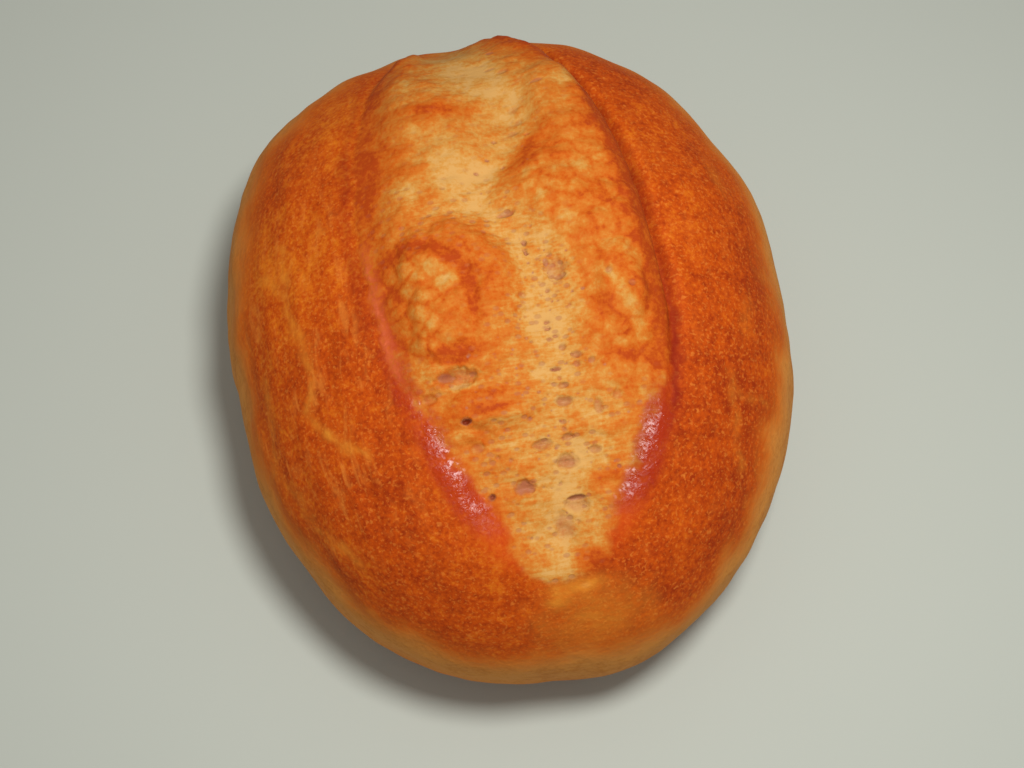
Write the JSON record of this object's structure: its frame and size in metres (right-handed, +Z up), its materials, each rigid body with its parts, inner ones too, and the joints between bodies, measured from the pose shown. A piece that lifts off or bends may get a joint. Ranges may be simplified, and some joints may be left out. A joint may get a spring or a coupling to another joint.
{
  "type": "bread roll",
  "caption": "Crusty oval wheat roll with a domed brown crust, burst open along one lengthwise cut into torn pale lobes of crumb, standing on a flat base.",
  "frame": {"origin": "on the surface that the roll stands on, under the middle of its outline", "axes": "+Z up through the burst, +Y along the cut towards its swollen end, +X across the roll"},
  "size_m": [0.0808, 0.0966, 0.0506],
  "materials": {
    "crust": "baked wheat crust, orange brown with pale specks and a soft shine, paler at the foot; torn tan and cream crumb in the burst"
  },
  "bodies": {
    "root": {"bread_roll": "crust"}
  },
  "joints": []
}
